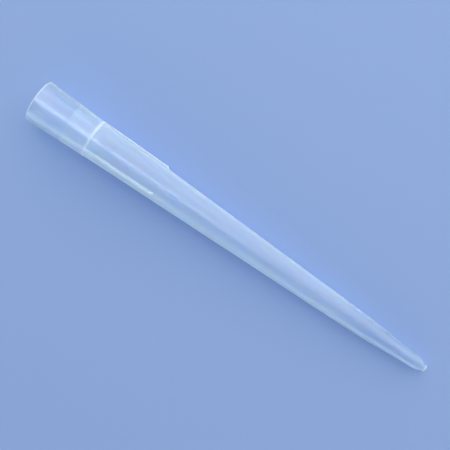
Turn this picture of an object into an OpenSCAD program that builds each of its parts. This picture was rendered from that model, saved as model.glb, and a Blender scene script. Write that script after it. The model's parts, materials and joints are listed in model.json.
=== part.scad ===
// Large-volume pipette tip, moulded in one piece, lying on its side.
//
// The tip is drawn on its own axis, with the rim at z = 0 and the nozzle at z = tip_length. It is then laid
// down along X, where it rests on its rim and its waist, rolled to where the foot of one rib would soon stop it.

/* [Overall] */
// Length from the rim to the end of the nozzle
tip_length = 150; // [125:0.5:180]
// Number of ribs under the collar, evenly spaced
rib_count = 3; // [3:1:5]
// How far it lies rolled clear of the rib that would stop it, in degrees
roll_clear = 3; // [1:0.5:7]

/* [Collar] */
// Diameter of the straight bore that grips the pipette's nose
seat_bore_d = 11.7; // [9.75:0.05:14.05]
// Length of that straight bore
seat_length = 9.1; // [7:0.1:12]
// Length of the flared entry above it
entry_length = 12.3; // [9:0.1:16]
// How much wider the mouth is than the straight bore
mouth_flare = 0.9; // [0.4:0.05:1.6]
// Wall of the collar
collar_wall = 0.82; // [0.68:0.02:1]
// Height of the small step out where the entry meets the gripping part
tier_step = 0.06; // [0.04:0.01:0.15]
// How much the outside of the gripping part narrows, on radius
seat_draft = 0.28; // [0.1:0.01:0.34]
// Radius of the rim's outer edge
rim_round = 0.3; // [0.2:0.05:0.4]
// Chamfer that leads the pipette's nose in
lead_in = 0.2; // [0.1:0.05:0.3]
// Width of the raised ring at the foot of the collar
ring_width = 0.8; // [0.6:0.05:1.2]
// Height of that ring over the collar
ring_height = 0.06; // [0.04:0.01:0.1]

/* [Ribs] */
// Length of each rib's crest, from the foot of the collar
rib_length = 24.1; // [18:0.1:30]
// Width of each rib
rib_width = 0.9; // [0.7:0.05:1.5]
// How far the crest starts above the ring
rib_rise = 0.08; // [0.04:0.01:0.15]
// How far the crest drops towards the axis along its length
rib_draft = 0.17; // [0.1:0.01:0.25]
// Length of the slope at the foot of each rib, down to its root in the wall
rib_slope = 1.5; // [0.8:0.05:2.2]

/* [Body] */
// Step in from the collar to the body
body_step = 0.11; // [0.06:0.01:0.16]
// Outer diameter at the waist, where the nose begins
waist_d = 7.04; // [5.8:0.02:8.5]
// Wall under the collar
body_wall = 0.72; // [0.6:0.02:0.85]
// Wall at the waist
waist_wall = 0.62; // [0.5:0.02:0.75]

/* [Nose] */
// Length from the waist to the end of the nozzle
nose_length = 23.5; // [19:0.1:28]
// Outer diameter where the nose starts to round off
nose_foot_d = 4.4; // [3.9:0.05:5.3]
// Wall there
nose_wall = 0.6; // [0.5:0.02:0.7]
// Length of the rounded part
round_length = 3.9; // [3.4:0.1:4.6]
// Outer diameter of the nozzle
nozzle_d = 2.5; // [2.3:0.05:2.9]
// Length of the nozzle
nozzle_length = 0.8; // [0.5:0.05:1.2]
// Diameter of the orifice
orifice_d = 1.5; // [1.2:0.05:1.7]
// Length of the orifice's straight bore
orifice_length = 1.6; // [1.2:0.1:2]

/* [Hidden] */
$fn = 128;

// Stations along the axis
collar_length = entry_length + seat_length;
rib_foot_z = collar_length + rib_length;
waist_z = tip_length - nose_length;
nozzle_z = tip_length - nozzle_length;
round_z = nozzle_z - round_length;
orifice_z = tip_length - orifice_length;

// Radii of the bore
seat_r = seat_bore_d / 2;
mouth_r = seat_r + mouth_flare / 2;
orifice_r = orifice_d / 2;

// Radii of the outside
rim_r = mouth_r + collar_wall;
entry_foot_r = seat_r + collar_wall;
seat_top_r = entry_foot_r + tier_step;
seat_foot_r = seat_top_r - seat_draft;
ring_r = seat_foot_r + ring_height;
body_top_r = seat_foot_r - body_step;
waist_r = waist_d / 2;
nose_foot_r = nose_foot_d / 2;
nozzle_r = nozzle_d / 2;

// Rib crest
rib_top_r = ring_r + rib_rise;
rib_foot_r = rib_top_r - rib_draft;

// The rounded end of the nose is one arc, which starts parallel to the axis
round_drop = nose_foot_r - nozzle_r;
round_r = (round_length * round_length + round_drop * round_drop) / (2 * round_drop);
ARC_STEPS = 8;

// Radius and height of the places that the tip could lie on, towards the rim and towards the nozzle
collar_feet = [[rim_r, rim_round], [ring_r, collar_length]];
nose_feet = [[waist_r, waist_z], [nose_foot_r, round_z], [nozzle_r, tip_length]];

// It lies on the one of each that nothing else reaches below
function slope_between(p, q) = (p[0] - q[0]) / (q[1] - p[1]);
function reach(p, slope) = p[0] + slope * p[1];
function furthest(slope) = max([for (p = concat(collar_feet, nose_feet)) reach(p, slope)]);
TOUCH = 0.000001;
lying_slopes = [
    for (p = collar_feet, q = nose_feet)
        let (slope = slope_between(p, q))
        if (furthest(slope) - reach(p, slope) < TOUCH) slope
];
lying_angle = atan(lying_slopes[0]);
axis_height = furthest(lying_slopes[0]) * cos(lying_angle);

// A rib this far round from straight down has the corner at its foot on the floor, and would stop the tip rolling
floor_r = furthest(lying_slopes[0]) - lying_slopes[0] * rib_foot_z;
rib_corner_r = norm([rib_foot_r, rib_width / 2]);
stop_angle = acos(min(1, floor_r / rib_corner_r)) + atan(rib_width / 2 / rib_foot_r);
lying_roll = stop_angle + roll_clear;

// Lowest and highest x of the tip as it lies
x_low = -(rim_r - rim_round) * sin(lying_angle);
x_high = tip_length * cos(lying_angle) + nozzle_r * sin(lying_angle);

// Radius of the body cone's outside at a height z
function body_r(z) = body_top_r + (waist_r - body_top_r) * (z - collar_length) / (waist_z - collar_length);

// Points on a quarter circle at the rim's outer edge
function rim_edge() = [
    for (i = [0:ARC_STEPS])
        let (a = 90 * i / ARC_STEPS)
        [rim_r - rim_round + rim_round * sin(a), rim_round - rim_round * cos(a)]
];

// Points along the rounded end of the nose
function nose_edge() = [
    for (i = [0:ARC_STEPS])
        let (along = round_length * i / ARC_STEPS)
        [nose_foot_r - round_r + sqrt(round_r * round_r - along * along), round_z + along]
];

// Outside of the section, from the mouth to the nozzle
function outside() = concat(
    [[mouth_r + lead_in, 0]],
    rim_edge(),
    [
        [entry_foot_r, entry_length],
        [seat_top_r, entry_length + tier_step],
        [seat_foot_r, collar_length - ring_width],
        [ring_r, collar_length - ring_width + ring_height],
        [ring_r, collar_length - ring_height],
        [body_top_r, collar_length],
        [waist_r, waist_z]
    ],
    nose_edge(),
    [[nozzle_r, tip_length]]
);

// Bore of the section, from the orifice back to the mouth
function bore() = [
    [orifice_r, tip_length],
    [orifice_r, orifice_z],
    [nose_foot_r - nose_wall, round_z],
    [waist_r - waist_wall, waist_z],
    [body_top_r - body_wall, collar_length],
    [seat_r, collar_length],
    [seat_r, entry_length],
    [mouth_r, lead_in]
];

module shell() {
    rotate_extrude()
        polygon(concat(outside(), bore()));
}

// One rib, with its root sunk to the middle of the collar's wall and of the body's
module rib() {
    top_z = collar_length - ring_width / 2;
    foot_z = rib_foot_z + rib_slope;
    rotate([90, 0, 0])
        linear_extrude(height = rib_width, center = true)
            polygon([
                [(seat_r + seat_foot_r) / 2, top_z],
                [rib_top_r, top_z],
                [rib_foot_r, rib_foot_z],
                [body_r(foot_z) - body_wall / 2, foot_z]
            ]);
}

// Lays the tip down along X, centred over the origin, with the nozzle at the +X end
module lie_down() {
    translate([-(x_low + x_high) / 2, 0, axis_height])
        rotate([0, 90 + lying_angle, 0])
            children();
}

module pipette_tip() {
    color([0.80, 0.87, 0.96])
        lie_down()
            union() {
                shell();
                for (i = [0:rib_count - 1])
                    rotate([0, 0, 360 * i / rib_count - lying_roll])
                        rib();
            }
}

pipette_tip();
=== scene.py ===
"""Looks of the pipette tip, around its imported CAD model.

The visible tip is one closed mesh, turned about the tip's own axis, with its ribs lifted out of the wall.
Its sizes are those of part.scad, in millimetres, with small fillets added. In the tip's own frame z runs
from the rim to the nozzle, x is the side that faces up as it lies, and angles are measured from x towards
the side that faces -Y.
"""
import json
import math

import bpy
import numpy as np
from mathutils import Matrix, Vector


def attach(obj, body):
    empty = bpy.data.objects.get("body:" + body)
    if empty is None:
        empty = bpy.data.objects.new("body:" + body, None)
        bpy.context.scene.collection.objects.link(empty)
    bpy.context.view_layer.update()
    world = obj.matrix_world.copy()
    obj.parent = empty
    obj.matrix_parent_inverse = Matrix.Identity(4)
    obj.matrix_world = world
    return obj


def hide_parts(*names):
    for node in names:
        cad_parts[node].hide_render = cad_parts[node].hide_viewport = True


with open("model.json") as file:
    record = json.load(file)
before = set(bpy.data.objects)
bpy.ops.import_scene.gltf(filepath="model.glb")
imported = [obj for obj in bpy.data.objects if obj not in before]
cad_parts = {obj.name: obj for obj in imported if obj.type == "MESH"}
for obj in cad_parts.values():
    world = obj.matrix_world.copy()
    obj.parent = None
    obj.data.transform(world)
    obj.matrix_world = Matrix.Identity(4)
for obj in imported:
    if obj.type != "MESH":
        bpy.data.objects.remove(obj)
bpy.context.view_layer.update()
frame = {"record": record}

MM = 0.001

# Sizes of the tip
TIP_LENGTH = 150.0
ENTRY_LENGTH, SEAT_LENGTH = 12.3, 9.1
COLLAR_LENGTH = ENTRY_LENGTH + SEAT_LENGTH
MOUTH_R, SEAT_R, COLLAR_WALL = 6.3, 5.85, 0.82
TIER_STEP, SEAT_DRAFT = 0.06, 0.28
RIM_ROUND, LEAD_IN = 0.3, 0.2
RING_WIDTH, RING_HEIGHT = 0.8, 0.06
RIB_COUNT, RIB_LENGTH, RIB_WIDTH = 3, 24.1, 0.9
RIB_RISE, RIB_DRAFT, RIB_SLOPE = 0.08, 0.17, 1.5
BODY_STEP, BODY_WALL = 0.11, 0.72
WAIST_R, WAIST_WALL = 3.52, 0.62
NOSE_LENGTH, NOSE_FOOT_R, NOSE_WALL = 23.5, 2.2, 0.6
ROUND_LENGTH, NOZZLE_R, NOZZLE_LENGTH = 3.9, 1.25, 0.8
ORIFICE_R, ORIFICE_LENGTH = 0.75, 1.6
LYING_ROLL = 32.055   # degrees from straight down to the nearest rib, on the -Y side

RIM_R = MOUTH_R + COLLAR_WALL
ENTRY_FOOT_R = SEAT_R + COLLAR_WALL
SEAT_TOP_R = ENTRY_FOOT_R + TIER_STEP
SEAT_FOOT_R = SEAT_TOP_R - SEAT_DRAFT
RING_R = SEAT_FOOT_R + RING_HEIGHT
BODY_TOP_R = SEAT_FOOT_R - BODY_STEP
RIB_TOP_R = RING_R + RIB_RISE
RIB_FOOT_R = RIB_TOP_R - RIB_DRAFT
RIB_TOP_Z = COLLAR_LENGTH - RING_WIDTH / 2
RIB_FOOT_Z = COLLAR_LENGTH + RIB_LENGTH
RIB_END_Z = RIB_FOOT_Z + RIB_SLOPE
WAIST_Z = TIP_LENGTH - NOSE_LENGTH
NOZZLE_Z = TIP_LENGTH - NOZZLE_LENGTH
ROUND_Z = NOZZLE_Z - ROUND_LENGTH
ORIFICE_Z = TIP_LENGTH - ORIFICE_LENGTH

# What moulding softens: how far the step on the collar is eased, each way, and the radii of the fillets
TIER_SOFT, TIER_FILLET = 0.05, 0.3
RING_ROOT_FILLET, RING_EDGE_FILLET, BODY_TOP_FILLET = 0.1, 0.08, 0.12
WAIST_FILLET = 12
NOZZLE_ROOT_FILLET, NOZZLE_EDGE_FILLET = 0.3, 0.06
ORIFICE_EDGE_FILLET, ORIFICE_ROOT_FILLET, NOSE_BORE_FILLET = 0.05, 2, 6
SHOULDER_EDGE_FILLET, SHOULDER_ROOT_FILLET = 0.1, 0.12   # where the gripping bore ends
ENTRY_FOOT_FILLET, LEAD_IN_FOOT_FILLET, LEAD_IN_EDGE_FILLET = 3, 0.08, 0.05

# The tip's own frame, from the bore that the record names
seat = next(m for m in frame["record"]["mounts"] if m["name"] == "nose_seat")
along = -Vector(seat["axis"]).normalized()
upward = Vector((0, 1, 0)).cross(along).normalized() * -1
sideways = along.cross(upward)
rim_centre = Vector(seat["pos_m"]) - along * (ENTRY_LENGTH + SEAT_LENGTH / 2) * MM
TIP_FRAME = Matrix((upward, sideways, along)).transposed().to_4x4()
TIP_FRAME.translation = rim_centre

# Camera: almost straight above, turned a little about the tip's axis towards +Y
LENS, SENSOR = 63.9, 36
CLIP_START, CLIP_END = 0.01, 20
CAMERA_HEIGHT = 0.260
CAMERA_X, CAMERA_Y = -0.0041, 0.0013
TIP_TURN = math.radians(34.8)
ROLL_TO_RIBS = math.radians(13)

camera = bpy.data.objects.new("camera", bpy.data.cameras.new("camera"))
bpy.context.scene.collection.objects.link(camera)
bpy.context.scene.camera = camera
camera.data.lens = LENS
camera.data.sensor_width = SENSOR
camera.data.clip_start = CLIP_START
camera.data.clip_end = CLIP_END
overhead = Matrix.Translation((CAMERA_X, CAMERA_Y, CAMERA_HEIGHT)) @ Matrix.Rotation(TIP_TURN, 4, "Z")
about_axis = (Matrix.Translation(rim_centre) @ Matrix.Rotation(-ROLL_TO_RIBS, 4, along)
              @ Matrix.Translation(-rim_centre))
camera.matrix_world = about_axis @ overhead


# Profiles
ARC_STEP = math.radians(18)   # the widest turn between two points of a fillet
LARGEST_SHARE = 0.48          # the most that a fillet takes up of the straight stretch on either side
NOSE_ARC_POINTS = 13
# Both profiles run from one flat end face to the other, where they stop this far out from the lead-in and
# from the orifice
OUTSIDE_AT_RIM, BORE_AT_RIM = 0.05, 0.04
OUTSIDE_AT_END, BORE_AT_END = 0.1, 0.08
TINY = 1e-4   # a length that counts as nothing


def rounded(points):
    """The profile through [(z, r, fillet radius)], with an arc of a few points at each filleted corner."""
    out = []
    for i, (z, r, fillet) in enumerate(points):
        here = np.array((z, r), float)
        if not fillet:
            out.append(here)
            continue
        before = np.array(points[i - 1][:2], float) - here
        after = np.array(points[i + 1][:2], float) - here
        reach_a, reach_b = np.linalg.norm(before), np.linalg.norm(after)
        u, v = before / reach_a, after / reach_b
        half = math.acos(max(-1.0, min(1.0, float(u @ v)))) / 2
        cut = min(fillet / math.tan(half), LARGEST_SHARE * reach_a, LARGEST_SHARE * reach_b)
        radius = cut * math.tan(half)
        middle = here + (u + v) / np.linalg.norm(u + v) * radius / math.sin(half)
        start, end = here + u * cut, here + v * cut
        a0 = math.atan2(*(start - middle)[::-1])
        a1 = math.atan2(*(end - middle)[::-1])
        turn = (a1 - a0 + math.pi) % (2 * math.pi) - math.pi
        steps = max(2, int(abs(turn) / ARC_STEP) + 1)
        for k in range(steps + 1):
            a = a0 + turn * k / steps
            out.append(middle + radius * np.array((math.cos(a), math.sin(a))))
    return out


def spaced(points, longest):
    """The same profile with its long straight stretches divided."""
    out = [points[0]]
    for a, b in zip(points, points[1:]):
        parts = max(1, math.ceil(np.linalg.norm(b - a) / longest))
        out += [a + (b - a) * k / parts for k in range(1, parts + 1)]
    return out


def with_stations(profile, stations):
    """The profile with a point at each of these z as well."""
    out = list(profile)
    for z in stations:
        k = next(i for i in range(1, len(out)) if out[i - 1][0] < z <= out[i][0])
        if out[k][0] - z > TINY:
            share = (z - out[k - 1][0]) / (out[k][0] - out[k - 1][0])
            out.insert(k, out[k - 1] + (out[k] - out[k - 1]) * share)
    return out


def radius_at(profile, z):
    """Radius of a profile at z."""
    points = sorted((tuple(p) for p in profile), key=lambda p: p[0])
    return float(np.interp(z, [p[0] for p in points], [p[1] for p in points]))


def outside_profile():
    """From the rim's flat face to the nozzle's, on the outside."""
    drop = NOSE_FOOT_R - NOZZLE_R
    arc_r = (ROUND_LENGTH ** 2 + drop ** 2) / (2 * drop)
    nose = [(ROUND_Z + a, NOSE_FOOT_R - arc_r + math.sqrt(arc_r ** 2 - a * a), 0)
            for a in np.linspace(0, ROUND_LENGTH, NOSE_ARC_POINTS)[1:-1]]
    return rounded([
        (0, MOUTH_R + LEAD_IN + OUTSIDE_AT_RIM, 0),
        (0, RIM_R, RIM_ROUND),
        (ENTRY_LENGTH - TIER_SOFT, ENTRY_FOOT_R, TIER_FILLET),
        (ENTRY_LENGTH + TIER_STEP + TIER_SOFT, SEAT_TOP_R, TIER_FILLET),
        (COLLAR_LENGTH - RING_WIDTH, SEAT_FOOT_R, RING_ROOT_FILLET),
        (COLLAR_LENGTH - RING_WIDTH + RING_HEIGHT, RING_R, RING_EDGE_FILLET),
        (COLLAR_LENGTH - RING_HEIGHT, RING_R, RING_EDGE_FILLET),
        (COLLAR_LENGTH, BODY_TOP_R, BODY_TOP_FILLET),
        (WAIST_Z, WAIST_R, WAIST_FILLET),
        (ROUND_Z, NOSE_FOOT_R, 0),
        *nose,
        (NOZZLE_Z, NOZZLE_R, NOZZLE_ROOT_FILLET),
        (TIP_LENGTH, NOZZLE_R, NOZZLE_EDGE_FILLET),
        (TIP_LENGTH, ORIFICE_R + OUTSIDE_AT_END, 0),
    ])


def bore_profile():
    """From the orifice back to the mouth, on the inside."""
    return rounded([
        (TIP_LENGTH, ORIFICE_R + BORE_AT_END, 0),
        (TIP_LENGTH, ORIFICE_R, ORIFICE_EDGE_FILLET),
        (ORIFICE_Z, ORIFICE_R, ORIFICE_ROOT_FILLET),
        (ROUND_Z, NOSE_FOOT_R - NOSE_WALL, NOSE_BORE_FILLET),
        (WAIST_Z, WAIST_R - WAIST_WALL, WAIST_FILLET),
        (COLLAR_LENGTH, BODY_TOP_R - BODY_WALL, SHOULDER_EDGE_FILLET),
        (COLLAR_LENGTH, SEAT_R, SHOULDER_ROOT_FILLET),
        (ENTRY_LENGTH, SEAT_R, ENTRY_FOOT_FILLET),
        (LEAD_IN, MOUTH_R, LEAD_IN_FOOT_FILLET),
        (0, MOUTH_R + LEAD_IN, LEAD_IN_EDGE_FILLET),
        (0, MOUTH_R + LEAD_IN + BORE_AT_RIM, 0),
    ])


def crest(z):
    """Radius of a rib's crest at z, or 0 where there is no rib."""
    if z < RIB_TOP_Z or z > RIB_END_Z:
        return 0
    if z <= RIB_FOOT_Z:
        return RIB_TOP_R + (RIB_FOOT_R - RIB_TOP_R) * (z - COLLAR_LENGTH) / RIB_LENGTH
    wall_r = BODY_TOP_R + (WAIST_R - BODY_TOP_R) * (RIB_END_Z - COLLAR_LENGTH) / (WAIST_Z - COLLAR_LENGTH)
    return RIB_FOOT_R + (wall_r - BODY_WALL / 2 - RIB_FOOT_R) * (z - RIB_FOOT_Z) / RIB_SLOPE


# Half of a rib's section. Each column is its distance from the rib's middle and, on the crest, its depth
# under the top, or else its height over the wall
HALF = RIB_WIDTH / 2
EDGE, ROOT, FLANK = 0.1, 0.14, 0.02   # the fillets at the crest and at the wall, and the flank between them
FLAT_SHARES = (0, 0.36, 0.62)         # shares of HALF at which the crest's flat has its columns
# Points (across, down) of a quarter circle of radius 1, to two digits
QUARTER_ARC = [(round(1 - math.sin(a), 2), round(1 - math.cos(a), 2))
               for a in np.linspace(0, math.pi / 2, 5)]
CREST_COLUMNS = [(HALF * share, 0) for share in FLAT_SHARES]
CREST_COLUMNS += [(HALF - EDGE * across, EDGE * down) for across, down in QUARTER_ARC]
WALL_COLUMNS = [(HALF + FLANK + ROOT * across, ROOT * up) for across, up in reversed(QUARTER_ARC)]
PLAIN_COLUMNS = 27     # from the rib's root to halfway to the next rib
FULL_COLUMNS_R = 6     # where there is no rib, rings of a smaller radius than this close the columns up


def half_sector(r, top):
    """Points (across, outward) of one ring, from the middle of a rib to halfway to the next.

    r is the wall's radius there, and top is the crest's."""
    height = top - r
    if height > TINY:
        fit = min(1.0, height / (EDGE + ROOT))
        out = [(y, top - depth * fit) for y, depth in CREST_COLUMNS]
        out += [(y, math.sqrt(r * r - y * y) + lift * fit) for y, lift in WALL_COLUMNS]
    else:
        scale = min(1.0, r / FULL_COLUMNS_R)
        out = [(y * scale, math.sqrt(r * r - (y * scale) ** 2)) for y, _ in CREST_COLUMNS + WALL_COLUMNS]
    start, end = math.asin(out[-1][0] / r), math.pi / RIB_COUNT
    for k in range(1, PLAIN_COLUMNS + 1):
        a = start + (end - start) * k / PLAIN_COLUMNS
        out.append((r * math.sin(a), r * math.cos(a)))
    return out


def ring(z, r, top=0):
    """All points of one ring in the tip's own frame, in metres."""
    half = half_sector(r, top)
    sector = [(-y, x) for y, x in half[:0:-1]] + half[:-1]
    out = []
    for k in range(RIB_COUNT):
        a = math.radians(180 - LYING_ROLL) + 2 * math.pi * k / RIB_COUNT
        c, s = math.cos(a), math.sin(a)
        out += [((x * c - y * s) * MM, (x * s + y * c) * MM, z * MM) for y, x in sector]
    return out


# Millimetres of plastic added to the wall's depth, which make a stretch hazier and whiter. Thicker and
# edge-on plastic does scatter more. On the rim, the ring, the ribs, the ribs' feet and the nozzle's end,
# though, the extra goes well past that, so these whiter bands are also painted highlights. The seat gets a
# little extra, so it is slightly whiter
RIM_HAZE_AND_HIGHLIGHT, SEAT_EXTRA, RING_HAZE_AND_HIGHLIGHT = 6.0, 0.6, 5.0
RIB_HAZE_AND_HIGHLIGHT, RIB_FOOT_HAZE_AND_HIGHLIGHT, END_HAZE_AND_HIGHLIGHT = 1.6, 8.0, 12.0
FULL_RIB = 0.15    # a rib this high has all of its extra
END_DEPTH = 0.4    # how far the extra reaches in from the rim and from the nozzle's end
MARGIN = 0.01      # keeps the rings that bound those stretches out of them


def depths(rings):
    """How many millimetres of plastic light crosses at each point of the rings: the wall, and the extra.

    On the rim, the ring, the ribs and the nozzle's end the extra is partly a painted highlight.
    """
    outer, inner = outside_profile(), bore_profile()
    columns = len(rings[0]) // RIB_COUNT
    out = []
    for one in rings:
        z = one[0][2] / MM
        outside = radius_at(outer, z)
        depth = outside - radius_at(inner, z)
        if z < END_DEPTH - MARGIN:
            depth += RIM_HAZE_AND_HIGHLIGHT
        elif ENTRY_LENGTH < z <= COLLAR_LENGTH - RING_WIDTH:
            depth += SEAT_EXTRA
        elif COLLAR_LENGTH - RING_WIDTH < z < COLLAR_LENGTH:
            depth += RING_HAZE_AND_HIGHLIGHT
        elif z > TIP_LENGTH - END_DEPTH + MARGIN:
            depth += END_HAZE_AND_HIGHLIGHT
        # On the ribs, and far more at their feet, the extra is partly a painted highlight along them
        rib_haze_and_highlight = RIB_HAZE_AND_HIGHLIGHT if z <= RIB_FOOT_Z else RIB_FOOT_HAZE_AND_HIGHLIGHT
        rib_haze_and_highlight *= min(1, max(0, crest(z) - outside) / FULL_RIB)
        for k in range(len(one)):
            on_rib = abs(k % columns - columns // 2) < len(CREST_COLUMNS)
            out.append(depth + (rib_haze_and_highlight if on_rib else 0))
    return out


# Where the rings lie: no further apart than this, with more at the start of the ribs and along their feet
OUTSIDE_GAP, BORE_GAP = 1.8, 2.5
RIB_START_STATIONS = [RIB_TOP_Z - 0.02, RIB_TOP_Z + 0.001]
RIB_FOOT_STATIONS = list(np.linspace(RIB_FOOT_Z - 0.15, RIB_FOOT_Z + 1.05, 13))
SHARP_ANGLE = math.radians(50)


def tip_mesh():
    """One closed mesh: rings down the outside, and back up the bore."""
    ends = [END_DEPTH, TIP_LENGTH - END_DEPTH]
    outside_stations = ends + RIB_START_STATIONS + RIB_FOOT_STATIONS
    outer = with_stations(spaced(outside_profile(), OUTSIDE_GAP), outside_stations)
    inner = with_stations(spaced(bore_profile(), BORE_GAP)[::-1], ends)[::-1]
    rings = [ring(z, r, crest(z)) for z, r in outer]
    rings += [ring(z, r) for z, r in inner]
    count = len(rings[0])
    faces = []
    for i in range(len(rings)):
        j = (i + 1) % len(rings)
        for k in range(count):
            m = (k + 1) % count
            faces.append((i * count + k, i * count + m, j * count + m, j * count + k))
    mesh = bpy.data.meshes.new("tip_shell")
    mesh.from_pydata([p for one in rings for p in one], [], faces)
    mesh.update()
    # The depth holds the wall and the extras, which on the rim, ring, ribs and nozzle's end are partly
    # painted highlights
    depth = mesh.attributes.new("depth", "FLOAT", "POINT")
    depth.data.foreach_set("value", depths(rings))
    bore = mesh.attributes.new("bore", "FLOAT", "POINT")
    in_bore = [float(i >= len(outer)) for i in range(len(rings)) for _ in range(count)]
    bore.data.foreach_set("value", in_bore)
    place = mesh.attributes.new("place", "FLOAT_VECTOR", "POINT")
    place.data.foreach_set("vector", [x for one in rings for p in one for x in p])
    for p in mesh.polygons:
        p.use_smooth = True
    mesh.set_sharp_from_angle(angle=SHARP_ANGLE)
    mesh.transform(TIP_FRAME)
    return mesh


tip = bpy.data.objects.new("tip_shell", tip_mesh())
bpy.context.scene.collection.objects.link(tip)


class Nodes:
    """Short ways to add and join shader nodes of one material."""

    def __init__(self, name):
        self.material = bpy.data.materials.new(name)
        self.material.use_nodes = True
        self.tree = self.material.node_tree
        self.tree.nodes.clear()

    def add(self, kind, **values):
        """A node with these settings and inputs. An input's name is written with _ for its spaces."""
        node = self.tree.nodes.new("ShaderNode" + kind)
        for key, value in values.items():
            if hasattr(node, key):
                setattr(node, key, value)
            else:
                self.set(node, key.replace("_", " "), value)
        return node

    def set(self, node, socket, value):
        """Link the input to value where that is another node's output, and otherwise give it that value."""
        target = node.inputs[socket]
        if isinstance(value, bpy.types.NodeSocket):
            self.tree.links.new(value, target)
        else:
            target.default_value = value

    def math(self, operation, a, b=0.0, clamp=False):
        """Result of a Math node."""
        node = self.add("Math", operation=operation, use_clamp=clamp)
        self.set(node, 0, a)
        self.set(node, 1, b)
        return node.outputs[0]

    def span(self, value, a, b, low=0.0, high=1.0, smooth=True):
        """value mapped from a..b to low..high, and held at the ends."""
        node = self.add("MapRange", interpolation_type="SMOOTHSTEP" if smooth else "LINEAR")
        inputs = {"Value": value, "From Min": a, "From Max": b, "To Min": low, "To Max": high}
        for name, x in inputs.items():
            self.set(node, name, x)
        return node.outputs["Result"]

    def finish(self, surface):
        """The material, with this shader as its surface."""
        out = self.add("OutputMaterial")
        self.tree.links.new(surface, out.inputs["Surface"])
        return self.material


# Natural polypropylene. Its haze grows with the depth that is looked through, by the CLEAR lengths in
# millimetres, and that depth grows with the slant. On the rim, ring, ribs and nozzle's end the depth holds
# extras that are partly painted highlights
PLASTIC, PLASTIC_IOR = (0.80, 0.895, 1.0, 1), 1.49
COLLAR_CLEAR, BODY_CLEAR, NOSE_CLEAR = 9.0, 3.4, 6.5
SLANT_POWER, LEAST_COSINE = 1.5, 0.06
SCATTER = (1.0, 0.8, 0.6)   # millimetres
COLLAR_ROUGH, BODY_ROUGH, NOSE_ROUGH = 0.31, 0.34, 0.31
SEAT_ROUGH, BORE_ROUGH = 0.29, 0.12   # inside the collar, and further in
COLLAR_COAT, NOSE_COAT, COAT_ROUGH = 0.35, 0.5, 0.13
COLLAR_SHADOW, BODY_SHADOW = (0.74, 0.82, 0.92, 1), (0.45, 0.58, 0.78, 1)

# The stretches of the tip, in metres, over which the collar's looks turn into the body's and those into
# the nose's
BODY_BLEND = (COLLAR_LENGTH - 0.3) * MM, (COLLAR_LENGTH + 0.1) * MM
NOSE_BLEND = (WAIST_Z - 14) * MM, (WAIST_Z + 10) * MM

# Flow marks drawn out along the tip, and fine grain, with what they do to the surface
FLOW_STRETCH = (1, 1, 0.12)
FLOW = {"Scale": 700.0, "Detail": 4.0, "Roughness": 0.6}
GRAIN = {"Scale": 5200.0, "Detail": 2.0, "Roughness": 0.5}
GRAIN_SHARE = 0.4
BUMP = {"Strength": 0.25, "Distance": 0.00004}
ROUGH_CHANGE = 0.06

MIX_SHARE, MIX_A, MIX_B, MIX_RESULT = 0, 6, 7, 2   # sockets of a Mix node that mixes colours


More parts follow.
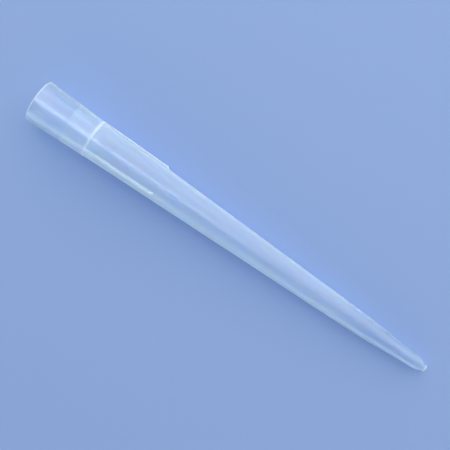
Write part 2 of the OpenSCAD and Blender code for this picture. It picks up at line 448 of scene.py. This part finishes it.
def plastic():
    """Clear and glossy on the collar, finely matt and milky on the body, polished on the nose and inside."""
    n = Nodes("natural_polypropylene")
    place = n.add("Attribute", attribute_name="place").outputs["Vector"]
    z = n.add("SeparateXYZ", Vector=place).outputs["Z"]
    body = n.span(z, *BODY_BLEND)
    nose = n.span(z, *NOSE_BLEND)
    bore = n.add("Attribute", attribute_name="bore").outputs["Fac"]

    def by_zone(collar, along_body, at_nose):
        """A value for the collar, one for the body and one for the nose, blended where they meet."""
        return n.math("ADD", n.span(body, 0, 1, collar, along_body, False),
                      n.math("MULTIPLY", nose, at_nose - along_body))

    stretched = n.add("VectorMath", operation="MULTIPLY")
    n.set(stretched, 0, place)
    n.set(stretched, 1, FLOW_STRETCH)
    flow = n.add("TexNoise", Vector=stretched.outputs[0], **FLOW).outputs["Fac"]
    grain = n.add("TexNoise", Vector=place, **GRAIN).outputs["Fac"]
    bump = n.add("Bump", **BUMP)
    n.set(bump, "Height", n.math("ADD", flow, n.math("MULTIPLY", grain, GRAIN_SHARE)))
    uneven = n.math("MULTIPLY", n.math("SUBTRACT", flow, 0.5), ROUGH_CHANGE)
    rough = n.math("ADD", by_zone(COLLAR_ROUGH, BODY_ROUGH, NOSE_ROUGH), uneven, True)
    rough = n.span(bore, 0, 1, rough, by_zone(SEAT_ROUGH, BORE_ROUGH, BORE_ROUGH), False)

    # Share of light that gets through without scattering, which is less where the wall is seen at a slant
    facing = n.add("LayerWeight", Blend=0.5).outputs["Facing"]
    cosine = n.math("MAXIMUM", n.math("SUBTRACT", 1.0, facing), LEAST_COSINE)
    slant = n.math("POWER", cosine, SLANT_POWER)
    # The depth read here makes the rim, ring, ribs and nozzle's end whiter, partly as painted highlights
    depth = n.math("DIVIDE", n.add("Attribute", attribute_name="depth").outputs["Fac"], slant)
    clear = n.math("EXPONENT",
                   n.math("DIVIDE", depth, by_zone(-COLLAR_CLEAR, -BODY_CLEAR, -NOSE_CLEAR)))

    shader = n.add("BsdfPrincipled", Base_Color=PLASTIC, IOR=PLASTIC_IOR, Roughness=rough)
    n.set(shader, "Subsurface Weight", 1.0)
    n.set(shader, "Subsurface Radius", SCATTER)
    n.set(shader, "Subsurface Scale", MM)
    n.set(shader, "Transmission Weight", clear)
    n.set(shader, "Coat Weight", by_zone(COLLAR_COAT, 0, NOSE_COAT))
    n.set(shader, "Coat Roughness", COAT_ROUGH)
    n.set(shader, "Normal", bump.outputs[0])

    # Light rays pass straight through, tinted, so the shadow is soft and blue, and lighter under the collar
    tint = n.add("Mix", data_type="RGBA")
    n.set(tint, MIX_SHARE, body)
    n.set(tint, MIX_A, COLLAR_SHADOW)
    n.set(tint, MIX_B, BODY_SHADOW)
    through = n.add("BsdfTransparent", Color=tint.outputs[MIX_RESULT])
    mix = n.add("MixShader", Fac=n.add("LightPath").outputs["Is Shadow Ray"])
    n.set(mix, 1, shader.outputs[0])
    n.set(mix, 2, through.outputs[0])
    return n.finish(mix.outputs[0])


tip.data.materials.append(plastic())
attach(tip, "root")
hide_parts("pipette_tip")


# Floor, lamps and world, in metres and watts. The world's light falls off from the horizon up to FALL_TOP,
# the height of a direction out of 1, and the floor fades into it between the FLOOR_FADE distances
WHITE, WORLD = (1, 1, 1, 1), (0.70, 0.84, 1.0, 1)
HORIZON_LEVEL, ZENITH_LEVEL, FALL_TOP = 0.9, 0.25, 0.6
FLOOR, FLOOR_ROUGH, FLOOR_SPECULAR = (0.300, 0.420, 0.700, 1), 0.7, 0.2
FLOOR_SIZE = 8
FLOOR_FADE = 0.35, 1.3
KEY, SIDE, STREAK = 12.8, 3.6, 1.5


def plain_floor():
    """Pale blue, and running into the world's horizon far away."""
    n = Nodes("floor")
    near = n.add("BsdfPrincipled", Base_Color=FLOOR, Roughness=FLOOR_ROUGH)
    n.set(near, "Specular IOR Level", FLOOR_SPECULAR)
    horizon = n.add("Emission", Color=WORLD, Strength=HORIZON_LEVEL)
    place = n.add("TexCoord").outputs["Object"]
    distance = n.add("VectorMath", operation="LENGTH", Vector=place).outputs["Value"]
    rays = n.add("LightPath").outputs
    seen = n.math("MAXIMUM", n.math("MAXIMUM", rays["Is Camera Ray"], rays["Is Glossy Ray"]),
                  rays["Is Transmission Ray"])
    mix = n.add("MixShader", Fac=n.math("MULTIPLY", n.span(distance, *FLOOR_FADE), seen))
    n.set(mix, 1, near.outputs[0])
    n.set(mix, 2, horizon.outputs[0])
    return n.finish(mix.outputs[0])


bpy.ops.mesh.primitive_plane_add(size=FLOOR_SIZE, location=(0, 0, 0))
floor = bpy.context.object
floor.name = "floor"
floor.data.materials.append(plain_floor())


def soft_lamp(name, azimuth, elevation, distance, size, power, colour=WHITE):
    """An area lamp aimed at the origin. Azimuth is from +X towards +Y."""
    lamp = bpy.data.lights.new(name, "AREA")
    lamp.shape = "RECTANGLE"
    lamp.size, lamp.size_y = size
    lamp.energy = power
    lamp.color = colour[:3]
    holder = bpy.data.objects.new(name, lamp)
    bpy.context.scene.collection.objects.link(holder)
    a, e = math.radians(azimuth), math.radians(elevation)
    place = Vector((math.cos(a) * math.cos(e), math.sin(a) * math.cos(e), math.sin(e))) * distance
    holder.location = place
    holder.rotation_mode = "QUATERNION"
    holder.rotation_quaternion = place.to_track_quat("Z", "Y")


soft_lamp("key_lamp", azimuth=98, elevation=43, distance=1.0, size=(1.7, 1.4), power=KEY)
soft_lamp("side_lamp", azimuth=276, elevation=14, distance=1.0, size=(1.6, 0.7), power=SIDE, colour=WORLD)
soft_lamp("streak_lamp", azimuth=116, elevation=81, distance=1.1, size=(0.3, 0.4), power=STREAK)


def studio_world():
    """Soft light from all round, brighter low down, as from white walls, than overhead."""
    world = bpy.data.worlds.new("studio")
    bpy.context.scene.world = world
    world.use_nodes = True
    tree = world.node_tree
    background = tree.nodes["Background"]
    background.inputs["Color"].default_value = WORLD
    place = tree.nodes.new("ShaderNodeTexCoord")
    apart = tree.nodes.new("ShaderNodeSeparateXYZ")
    span = tree.nodes.new("ShaderNodeMapRange")
    span.interpolation_type = "SMOOTHSTEP"
    inputs = {"From Min": 0.0, "From Max": FALL_TOP, "To Min": HORIZON_LEVEL, "To Max": ZENITH_LEVEL}
    for name, value in inputs.items():
        span.inputs[name].default_value = value
    tree.links.new(place.outputs["Generated"], apart.inputs[0])
    tree.links.new(apart.outputs["Z"], span.inputs["Value"])
    tree.links.new(span.outputs["Result"], background.inputs["Strength"])


studio_world()
bpy.context.scene.view_settings.view_transform = "Standard"
